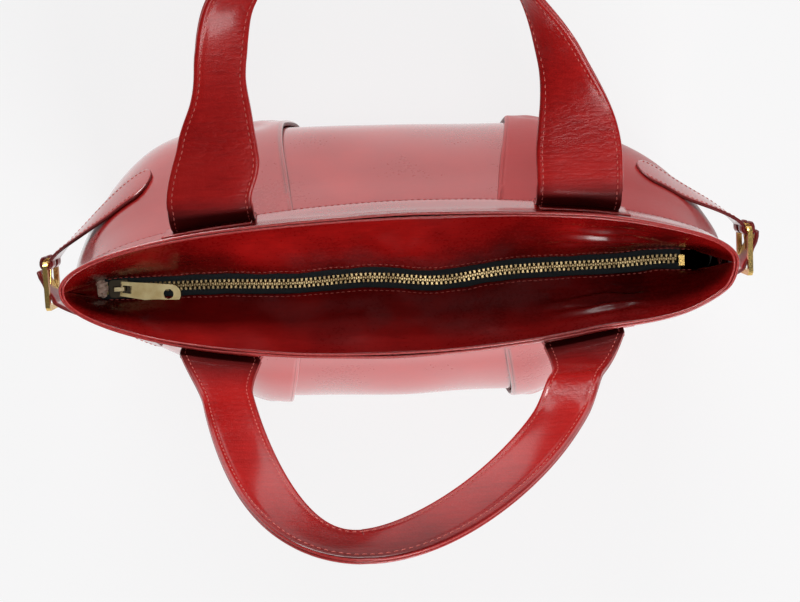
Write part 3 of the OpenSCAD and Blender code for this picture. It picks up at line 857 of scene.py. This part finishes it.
def facing_grid(side, seed):
    a = np.radians(np.linspace(-90, 90, 260))[:, None]
    r = np.linspace(0, 1, 46)[None, :]
    drop = mix(r, 1 - np.cos(quarter * r), 0.15)
    sink = mix(r, np.sin(quarter * r), 0.2)
    middle = np.clip(np.cos(a) * 2.4, 0, 1)
    foot_x = edge_x * np.sin(a)
    foot_y = edge_in + (side * bow(foot_x) + 0.3 * dents(foot_x, 0.0, 9.0, seed + 3)) * middle
    along = mix(rim_x * np.sin(a), foot_x, drop)
    away = mix(rim_seam + rim_y * np.cos(a), foot_y, drop)
    # Dimples, slanting folds and a crumpled patch, none of them at the sewn edges
    depth = r * facing_deep
    dent = 1.2 * dents(along, depth, 24.0, seed) + 0.4 * dents(along, depth, 10.0, seed + 1)
    fold = 1.2 * dents(along + 0.5 * depth, 0.3 * depth, 18.0, seed + 5)
    ripple = np.sin(0.75 * depth + 2.0 * dents(along, depth, 12.0, seed + 7))
    crumple = 1.8 * ripple * hump(along, 104, 18) * hump(r, 0.5, 0.26)
    loose = np.sin(math.pi * np.minimum(r * 1.06, 1)) * middle
    away = away + (np.clip(dent + fold, -3.2, 1.6) + crumple) * loose
    return np.stack([along, away, np.broadcast_to(mix(bag_h, edge_z, sink), along.shape)], -1)


print("the zip bows by up to", round(-float(bow(21)), 2), "mm")

# %% Facings
facing_seams = []
# The front facing gets shaded_leather, a darker copy of the facing leather painted as painted shade
for side, seed, finish, node_name in (
    (1, 41, facing_leather, "back_facing"), (-1, 47, shaded_leather, "front_facing")
):
    inside = placed(facing_grid(side, seed), 1, side)
    facing = leather_piece("leather_" + node_name, [inside], facing_t, finish)
    dress(facing, "bag", "facing_leather", node_name)
    middle_row = inside[len(inside) // 2]
    from_edge = np.linalg.norm(middle_row - middle_row[np.argmin(middle_row[:, 2])], axis=1)
    facing_seams.append(seam_on(inside, slice(16, -16), int(np.argmin(np.abs(from_edge - facing_seam_in)))))
dress(stitches("facing_stitches", facing_seams, pitch=2.9, size=(2.1, 0.55, 0.32)), "bag", "facing_leather")

# %% [markdown]
# ## The tucked corner
# At the slider end the two facings are folded over each other and tucked in under the rim, and the raw cut
# edge of the fold, pale and fibrous, looks out behind the slider. Both are small sheets: the fold has a
# rolled ridge, the raw edge a ragged outline.

# %% Tucked corner
tucked_t, raw_t = 1.2, 0.9
down = np.linspace(0, 1, 26)[:, None]
over = np.linspace(-1, 1, 23)[None, :]
ridge = 2.6 * hump(over, -0.1, 0.5) - 2.0 * hump(over, -0.62, 0.16)
ridge_z = ridge * np.sin(math.pi * np.clip(down * 0.8 + 0.15, 0, 1)) - 1.2 * np.abs(over) ** 3
tucked_x = mix(-171.0, -157.5, down) + 0 * over
tucked_y = 2.0 + over * mix(2.2, 7.2, down)
tucked = np.stack([tucked_x, tucked_y, mix(231.0, 207.5, down**0.8) + ridge_z], -1)
dress(leather_piece("tucked_corner", [tucked], tucked_t, facing_leather), "bag", "facing_leather")

ragged = 1.4 * dents(7 * down + 0 * over, 11 * over, 2.0, 71)
raw_x = mix(-160.5, -153.4, down) + ragged * down
raw_y = 1.0 + 4.6 * over + 0.8 * ragged
raw_z = mix(209.2, 203.4, down) + 0.5 * dents(9 * down, 9 * over, 2.5, 73)
raw = np.stack([raw_x, raw_y, raw_z], -1)
dress(leather_piece("raw_edge", [raw], raw_t, raw_leather, raw_leather), "bag", "facing_leather")

# %% [markdown]
# ## Zip
# Two woven tapes carry a row of small brass teeth each. Every tooth grips its tape with two legs and has a
# bevelled head that meshes with the row opposite. An array along a curve could place them, but the two rows
# and the bow are easier to keep in step as a list of places.

# %% Tapes
tape_t, tape_in, tape_top = 0.8, 2.2, zip_z + 0.4
tape_x = np.linspace(-159.5, 148.4, 300)[:, None]
tape_w = mix(4.2, 10.2, smooth((tape_x + 160) / 6.5))
across = tape_in + np.linspace(0, 1, 9)[None, :] * tape_w
corded = tape_top + 0.3 * hump(across, tape_in, 0.5)
for side, node_name in ((1, "back_zip_tape"), (-1, "front_zip_tape")):
    tape = np.stack([np.broadcast_to(tape_x, across.shape), side * across + bow(tape_x), corded], -1)
    tape = tape if side > 0 else tape[:, ::-1]
    ribbon = leather_piece("cloth_" + node_name, [tape], tape_t, tape_cloth, tape_cloth)
    dress(ribbon, "bag", "zip_tape", node_name)

# %% Teeth
tooth_count, tooth_pitch, chain_end = 122, 2.4, 147.0
leg_y, leg_spread = 1.2, 1.45
tooth_slices = ((-0.55, 0.86), (-0.38, 1.0), (0.38, 1.0), (0.55, 0.86))
tooth_middle = np.array([1.0, 0.0])
tooth_shape = np.array([
    [-1.0, -0.6], [-0.6, -1.2], [2.6, -1.2], [2.6, -0.5], [1.8, -0.5], [1.8, 0.5], [2.6, 0.5], [2.6, 1.0],
    [2.3, 1.2], [0.9, 1.2], [0.3, 1.0], [-0.6, 1.0], [-1.0, 0.6],
])


def tooth_row(side, shift):
    points, faces = [], []
    for i in range(tooth_count):
        x = chain_end - tooth_pitch * (i + shift + 0.5)
        turn = math.atan2(float(bow(x + 0.5) - bow(x - 0.5)), 1.0)
        faces += tube_faces(len(tooth_slices), len(tooth_shape), len(points))
        for along, share in tooth_slices:
            for y, z in tooth_middle + (tooth_shape - tooth_middle) * share:
                run = along * (leg_spread if y > leg_y else 1.0)
                out = side * y
                tooth_x = x + run * math.cos(turn) - out * math.sin(turn)
                tooth_y = float(bow(x)) + run * math.sin(turn) + out * math.cos(turn)
                points.append((tooth_x, tooth_y, zip_z + z))
    return points, faces


for side, shift, node_name in ((1, 0.0, "back_zip_teeth"), (-1, 0.5, "front_zip_teeth")):
    row = make_piece("brass_" + node_name, *tooth_row(side, shift), [zip_brass])
    row.data.polygons.foreach_set("use_smooth", np.zeros(len(row.data.polygons), bool))
    dress(row, "bag", "zip_metal", node_name)

# %% [markdown]
# ## Handles
# Each handle is two straps sewn back to back along both edges. It is sewn flat to the band at its roots,
# bends away there, and rolls as it goes round: at the top of the back handle it stands on its edge. So the
# strap is swept along its own line. The line goes up the band, round a bend and then round the loop, and
# each station on it has a place, a slope, its distance from the root and a roll.

# %% Stations along a handle
handle_x, handle_reach, hinge_y, hinge_z = 93.0, 150.0, 35.812, 226.0
root_off, root_low = 0.85, -16.0
wave_at, wave_width, degree_run = 16.0, 5.0, 2.4


def loop_point(a, pinch, sway, nudge):
    rise = math.sin(a)
    out = handle_reach * rise
    inward = smooth((out - 12) / 25) * (1 - smooth((out - 55) / 40))
    outward = smooth((out - 85) / 28) * (1 - smooth((out - 125) / 24))
    pull_in = nudge * float(inward - 0.8 * outward) if math.cos(a) < 0 else 0.0
    return handle_x * math.cos(a) * (1 - pinch * rise) + sway * rise * rise + pull_in, out


def strap_root(slant, bend):
    top = (root_off + bend * (1 - math.sin(slant))) * math.tan(slant) - bend * math.cos(slant)
    flat = [(root_off, z, 0.0) for z in np.linspace(root_low, top, 9)[:-1]]
    curve = [
        (root_off + bend * (1 - math.cos(phi)), top + bend * math.sin(phi), phi)
        for phi in np.linspace(0, quarter - slant, 9)
    ]
    return flat + curve


def strap_stations(slant, pinch, sway, nudge, bend, buckled, roll_at):
    root = strap_root(slant, bend)
    first = math.hypot(root[-1][0], root[-1][1]) + 1.0
    start = math.asin(first / handle_reach)
    loop = []
    for a in np.linspace(start, math.pi - start, 330):
        x, out = loop_point(a, pinch, sway, nudge)
        past = math.degrees(a) - wave_at
        wave = buckled * hump(past, 0, wave_width)
        y = out * math.cos(slant) - wave * math.sin(slant)
        z = out * math.sin(slant) + wave * math.cos(slant)
        tip = math.atan2(wave * past * 2 / wave_width**2, degree_run)
        loop.append((x, y, z, quarter - slant + tip, out - first, math.radians(roll_at(math.degrees(a)))))
    rise = [(handle_x, y, z, phi, 0.0, 0.0) for y, z, phi in root]
    fall = [(-handle_x, y, z, phi, 0.0, 0.0) for y, z, phi in reversed(root)]
    return np.array(rise + loop + fall)


print("loop top:", [round(float(v), 1) for v in loop_point(quarter, 0.0, 0.0, 0.0)])

# %% [markdown]
# ## Sweeping the strap
# A curve with a bevel would twist where the handle bends, so each cross-section is set one by one, square to
# the line. It has two plies, a groove between them, soft edges and a dip under each row of stitches. It is
# wide at the root and narrow round the loop.

# %% Strap sweep
root_w, strap_w = 43.0, 25.0
even_out = 120
seam_in, seam_up = 2.9, 1.78


def strap_sweep(stations, taper):
    x, y, z, phi, out, twist = stations.T
    line = np.stack([x, hinge_y + y, hinge_z + z], -1)
    along = unit(np.gradient(line, axis=0))
    # The direction is evened out along the strap, so that the root and the loop join without a kink
    sideways = along[:, 0]
    for _ in range(even_out):
        sideways[1:-1] = (sideways[:-2] + 2 * sideways[1:-1] + sideways[2:]) / 4
    along[:, 1:] *= (np.sqrt(1 - sideways**2) / np.linalg.norm(along[:, 1:], axis=1))[:, None]
    inward = np.stack([0 * phi, -np.cos(phi), np.sin(phi)], -1)
    inward = unit(inward - along * np.sum(inward * along, axis=1, keepdims=True))
    outer = np.cross(along, inward)
    spin = twist[:, None]
    across = outer * np.cos(spin) + inward * np.sin(spin)
    face = inward * np.cos(spin) - outer * np.sin(spin)
    half = mix(root_w, strap_w, smooth((out - taper[0]) / taper[1])) / 2
    return line, across, face, half


def strap_ring(half):
    near_edge = half - np.array([0.25, 0.9, 2.0, seam_in, 4.0])
    inset = np.concatenate([near_edge, [half * 0.55, half * 0.28]])
    height = np.array([1.25, 1.75, 1.9, 1.72, 1.95, 2.05, 2.1])
    right = np.stack([inset, height], -1)
    top = np.concatenate([right, [[0, 2.12]], right[::-1] * np.array([-1, 1])])
    edge = np.array([[half, 0.8], [half - 0.05, 0.3], [half - 0.7, 0.0], [half - 0.05, -0.3], [half, -0.8]])
    return np.concatenate([top[::-1], edge, top * np.array([1, -1]), edge[::-1] * np.array([-1, 1])])


print("a strap ring has", len(strap_ring(strap_w / 2)), "points")

# %% [markdown]
# ## The two straps
# The sweep is the same for both handles. Only the lean, the shape of the loop and the roll along it differ,
# and the right leg of the front handle has buckled a little, so that it catches the light. Over its first
# few centimetres the strap is blended onto the band.

# %% One strap
seated_out, band_end = 36.0, 160.0
edge_sides = (*range(14, 20), *range(34, 40))


def seat_on_band(points, side, out):
    near = 1 - smooth(out / seated_out)
    x = np.minimum(np.abs(points[..., 0]), band_end)
    points[..., 1] += near * (wall_y(x, bag_h, band_out) + 3.2 - (hinge_y + root_off))
    seated = flipped(points, 1, side)
    seated[..., 1] += mix(-0.94, 0.9 * rim_bow(points[..., 0]), near)
    return seated


def strap_piece(name, stations, taper, side, finish):
    line, across, face, half = strap_sweep(stations, taper)
    out = stations[:, 4]
    rings = []
    for i in range(len(line)):
        shape = strap_ring(half[i])
        around = line[i] + across[i] * shape[:, 0:1] + face[i] * shape[:, 1:2]
        rings.append(seat_on_band(around, side, out[i]))
    n = len(rings[0])
    marks = [int(k in edge_sides) for k in range(n)] * (len(rings) - 1) + [1, 1]
    faces = tube_faces(len(rings), n)
    strap = make_piece(name, np.concatenate(rings), faces, [finish, edge_paint], marks)
    rows = []
    for s in (-1, 1):
        for f in (-1, 1):
            seam = line + across * (s * (half - seam_in))[:, None] + face * f * seam_up
            rows.append((seat_on_band(seam, side, out), flipped(face * f, 1, side)))
    return strap, stitches(name + "_stitches", rows, pitch=3.3)


print("edge faces round a strap:", len(edge_sides))


def front_roll(degrees):
    return 15 * hump(degrees, 108, 30) + 3 * hump(degrees, 24, 9)


def back_roll(degrees):
    return 76 * smooth((degrees - 14) / 36) * smooth((160 - degrees) / 62)


def make_handle(name, side, finish, lean, pinch, sway, nudge, bend, buckled, taper, roll_at):
    slant = math.radians(lean)
    stations = strap_stations(slant, pinch, sway, nudge, bend, buckled, roll_at)
    strap, thread = strap_piece(name, stations, taper, side, finish)
    for piece in (strap, thread):
        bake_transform(piece)
    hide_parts(name + "_top", name + "_backing")
    print(name, "points:", len(strap.data.vertices), "stitch points:", len(thread.data.vertices))


make_handle(
    "front_handle", -1, front_strap_leather, lean=66.0, pinch=0.22, sway=-20.0, nudge=0.0, bend=10.0,
    buckled=4.2, taper=(-10.0, 42.0), roll_at=front_roll,
)
make_handle(
    "back_handle", 1, back_strap_leather, lean=20.0, pinch=-0.08, sway=-2.0, nudge=6.0, bend=13.0,
    buckled=0.0, taper=(14.0, 52.0), roll_at=back_roll,
)

# %% [markdown]
# ## Anchor patches
# A pad of leather under each root fills the curve of the band, and pokes out a little beside the strap.

# %% Anchor patches
patch_t, patch_out = 1.2, 5.1
patch_x = np.linspace(73.5, 118.5, 40)[:, None]
patch_z = np.linspace(209.0, 229.0, 18)[None, :]
patch_y = wall_y(patch_x, bag_h, patch_out + flare(0.5, patch_z) + 0 * patch_x)
patch = np.stack(np.broadcast_arrays(patch_x, patch_y, patch_z), -1)
for sign_y, long_side in ((1, "back"), (-1, "front")):
    for sign_x, end in ((1, "right"), (-1, "left")):
        node_name = long_side + "_" + end + "_anchor"
        pad = leather_piece("patch_" + node_name, [placed(patch, sign_x, sign_y)], patch_t, belt_leather)
        dress(pad, "bag", "outer_leather", node_name)

# %% [markdown]
# ## Belts
# A short belt draws in each end of the bag. One strap is folded round the buckle's bar, the other comes
# from the front, passes through the frame over the prong and ends in a short tail. The rounded tabs are
# sewn flat to the side panels. A belt's line lies on the wall as far as its tab goes, and then leaves it in
# a curve.

# %% Belt lines
belt_z, belt_half, belt_t, belt_gap = 160.0, 10.0, 1.8, 0.4
tab_x, lift_x, tab_round = 134.0, 154.0, 10.0
buckle_off, bar_y = 13.0, 12.0
buckle_x = float(half_l(belt_z)) + buckle_off
strap_d = belt_t / 2 + belt_gap


def bezier(a, b, c, d, t):
    s = 1 - t
    return a * s**3 + b * 3 * s * s * t + c * 3 * s * t * t + d * t**3


def belt_line(z, end, rest, draw, lead_in):
    run = np.linspace(tab_x, lift_x, 26)
    tab = np.stack([run, wall_y(run, z, strap_d, draw), np.full_like(run, z)], -1)
    along = unit(tab[-1] - tab[-2])
    stop = np.array([*end, z])
    t = np.linspace(0, 1, 30)[1:, None]
    free = bezier(tab[-1], tab[-1] + along * 10, stop + np.array([-lead_in[0], lead_in[1], 0]), stop, t)
    tail = np.array([(x, y, z) for x, y in rest]).reshape(-1, 3)
    return np.concatenate([tab, free, tail])


def belt_grid(end, rest, draw, lead_in):
    levels = belt_z + belt_half * np.linspace(-1, 1, 11)
    grid = np.stack([belt_line(z, end, rest, draw, lead_in) for z in levels], 1)
    # The tab narrows to a round end
    tip = np.clip(lengths(grid[:, 5]) / tab_round, 0, 1)
    shape = np.maximum(np.sqrt(np.maximum(0, 1 - (1 - tip) ** 2)), 0.16)
    grid[..., 2] = belt_z + (grid[..., 2] - belt_z) * shape[:, None]
    on_wall = wall_y(grid[..., 0], grid[..., 2], strap_d, draw)
    grid[..., 1] = np.where(grid[..., 0] < lift_x, on_wall, grid[..., 1])
    return grid


def belt_outside(grid, sign_x, sign_y):
    turned = flipped(grid, sign_x, sign_y)
    turned = settle(turned, 1 - smooth((np.abs(turned[..., 0]) - lift_x) / 25))
    out = normals_of(turned)
    if out[3, 3] @ np.array([sign_x, sign_y * 0.6, 0]) < 0:
        turned, out = turned[:, ::-1], -out[:, ::-1]
    return turned + out * belt_t / 2


print("buckle at", round(buckle_x, 2), "strap offset", strap_d)

# %% [markdown]
# ## The belts' loops and tails
# The strap round the bar is split in two for the prong, so its loop is two narrow sheets. The tail is a few
# points from inside the frame to its outer side. At the left end it is one point shorter.

# %% Belt straps
bar_r, bar_gap, frame_half, lay_gap = 1.5, 0.25, 1.3, 0.3
loop_mid = bar_r + bar_gap + belt_t / 2
loop_foot = (buckle_x - loop_mid, bar_y + 2.0)
wrap_turns = np.radians(np.linspace(180, 362, 16))
wrap = [(buckle_x + loop_mid * math.cos(turn), bar_y + loop_mid * math.sin(turn)) for turn in wrap_turns]
home = [(buckle_x + loop_mid * s, bar_y + y) for s, y in ((0.97, 1.2), (0.82, 2.4), (0.55, 3.4))]
wrap_line = np.array([loop_foot] + wrap + home)
wrap_grids = []
for low, high in ((-1.0, -0.2), (0.2, 1.0)):
    levels = belt_z + belt_half * np.linspace(low, high, 6)
    wrap_grids.append(np.stack([np.column_stack([wrap_line, np.full(len(wrap_line), z)]) for z in levels], 1))
inside_x = buckle_x - frame_half - lay_gap - belt_t / 2
outside_x = buckle_x + bar_r + bar_gap + belt_t + lay_gap + belt_t / 2
tail = [
    (inside_x + 0.2, 7.6), (inside_x + 1.2, 5.6), (inside_x + 3.2, 2.6), (outside_x - 2.6, -1.5),
    (outside_x - 1.0, -4.6), (outside_x - 0.1, -7.8), (outside_x, -10.6),
]
belt_seams = []
for sign_x, end, back_draw, front_draw, rest in (
    (1, "right", 0.0, draw_right, tail), (-1, "left", shoulder, draw_left, tail[:-1])
):
    buckle_side = belt_grid(loop_foot, [], back_draw, (3, 6))
    hole_side = belt_grid((inside_x - 0.6, 9.6), rest, front_draw, (8, 6))
    for sign_y, grids, last, node_name in (
        (1, [buckle_side] + wrap_grids, 50, end + "_buckle_strap"),
        (-1, [hole_side], len(hole_side) - 3, end + "_hole_strap"),
    ):
        sheets = [belt_outside(grid, sign_x, sign_y) for grid in grids]
        # The belts' cut edges get the dark leather, as painted shade
        belt = leather_piece("belt_" + node_name, sheets, belt_t, belt_leather, painted_shade_leather)
        dress(belt, "bag", "outer_leather", node_name)
        belt_seams += [seam_on(sheets[0], slice(4, last), row) for row in (1, 9)]
dress(stitches("belt_stitches", belt_seams, pitch=2.8, size=(2.0, 0.5, 0.3)), "bag", "outer_leather")

# %% [markdown]
# ## Metal that stays as the CAD made it
# Slider, pull, stops, buckles and prongs are hard pieces whose solids are right already. They keep their
# shape and get a small bevel, because an edge without one never catches the light.

# %% Metal pieces
weld_within, bevel_above = 0.01, math.radians(35)
for node_name, finish, width in (
    ("zip_slider", slider_brass, 0.25),
    ("zip_pull", pull_brass, 0.2),
    ("zip_top_stops", zip_brass, 0.15),
    ("zip_bottom_stop", buckle_gold, 0.25),
    ("left_buckle_frame", buckle_gold, 0.5),
    ("right_buckle_frame", buckle_gold, 0.5),
    ("left_buckle_prong", buckle_gold, 0.2),
    ("right_buckle_prong", buckle_gold, 0.2),
):
    node = nodes[node_name]
    if not node.material_slots:
        node.data.materials.append(finish)
    for holder in node.material_slots:
        holder.material = finish
    weld = node.modifiers.new("weld", "WELD")
    weld.merge_threshold = weld_within * mm
    bevel = node.modifiers.new("bevel", "BEVEL")
    bevel.width = width * mm
    bevel.segments = 2
    bevel.limit_method = "ANGLE"
    bevel.angle_limit = bevel_above
    print(node_name, "has", finish.name)

# %% [markdown]
# ## Floor
# The photo was taken on a pale surface. A floor that is only painted white would need more light than the
# bag can take, so to the camera and in mirrors it is mostly paper white by itself, and the matt rest keeps
# the bag's shadow. The outer walls are seen at a flat angle, so they mirror the floor and look pink.

# %% Floor
floor_half, floor_z, paper_share = 5000.0, -0.4, 0.8
floor_finish, t = new_finish("pale_floor")
patches = noise(t, on_object(t), 3.0, 2.0)
tone = ramp(t, patches, (0.3, (0.80, 0.80, 0.805)), (0.7, (0.84, 0.84, 0.845)))
set_finish(floor_finish, {"Base Color": tone}, {"Roughness": 0.6, "Specular IOR Level": 0.3})


def paths(t):
    kinds = ("Is Camera Ray", "Is Glossy Ray", "Is Transmission Ray")
    camera_ray, glossy_ray, clear_ray = [t.node("ShaderNodeLightPath", out=kind) for kind in kinds]
    return (camera_ray + glossy_ray + clear_ray).capped()


paper = t.node("ShaderNodeEmission", {}, {"Color": (0.985, 0.985, 0.988, 1.0), "Strength": 1.0})
matt = Field(t.tree, t.tree.nodes["Principled BSDF"].outputs[0])
seen = t.node("ShaderNodeMixShader", {}, {0: paths(t) * paper_share, 1: matt, 2: paper})
t.tree.links.new(seen.socket, t.tree.nodes["Material Output"].inputs["Surface"])
corners = [(x * floor_half, y * floor_half, floor_z) for x, y in ((-1, -1), (1, -1), (1, 1), (-1, 1))]
floor = make_piece("floor", corners, [(0, 1, 2, 3)], [floor_finish])
print("floor:", floor.name)

# %% [markdown]
# ## Light
# The photo has low daylight. One lamp stands for a window in front and to the right: it is too low to reach
# the front facing, which stays dark. Another stands low behind the bag and lights the front handle and the
# back walls. The room above is dim but for one small lamp overhead, which puts the thin bright lines on the
# rim and the shine on the zip.

# %% World
world = bpy.data.worlds.new("studio")
bpy.context.scene.world = world
world.use_nodes = True
sky = Field(world.node_tree)
look = sky.node("ShaderNodeTexCoord", out="Generated")
height = sky.node("ShaderNodeSeparateXYZ", {}, {"Vector": look}, 2)
dimming = {"Value": height, "From Min": 0.02, "From Max": 0.5, "To Min": 0.22, "To Max": 0.07}
room = sky.node("ShaderNodeMapRange", {"clamp": True}, dimming)
camera_ray = sky.node("ShaderNodeLightPath", out="Is Camera Ray")
strength = room + (1.0 - room) * camera_ray
background = world.node_tree.nodes["Background"]
background.inputs["Color"].default_value = (0.97, 0.98, 1.0, 1)
world.node_tree.links.new(strength.socket, background.inputs["Strength"])
print("world:", world.name)

# %% Lamps
lit_point = Vector((0, 0, 0.2))


def soft_lamp(name, place, size, power):
    lamp = bpy.data.objects.new(name, bpy.data.lights.new(name, "AREA"))
    lamp.data.shape = "RECTANGLE"
    lamp.data.size, lamp.data.size_y = size
    lamp.data.energy = power
    lamp.location = place
    lamp.rotation_mode = "QUATERNION"
    lamp.rotation_quaternion = (lit_point - Vector(place)).to_track_quat("-Z", "Y")
    bpy.context.collection.objects.link(lamp)


soft_lamp("front_window", (0.75, -1.55, 1.22), (1.4, 0.6), 32.0)
soft_lamp("ceiling", (0.1, -0.1, 2.7), (0.7, 0.7), 9.0)
soft_lamp("back_window", (-0.35, 1.9, 0.72), (1.6, 0.5), 36.0)
bpy.context.scene.view_settings.view_transform = "Standard"
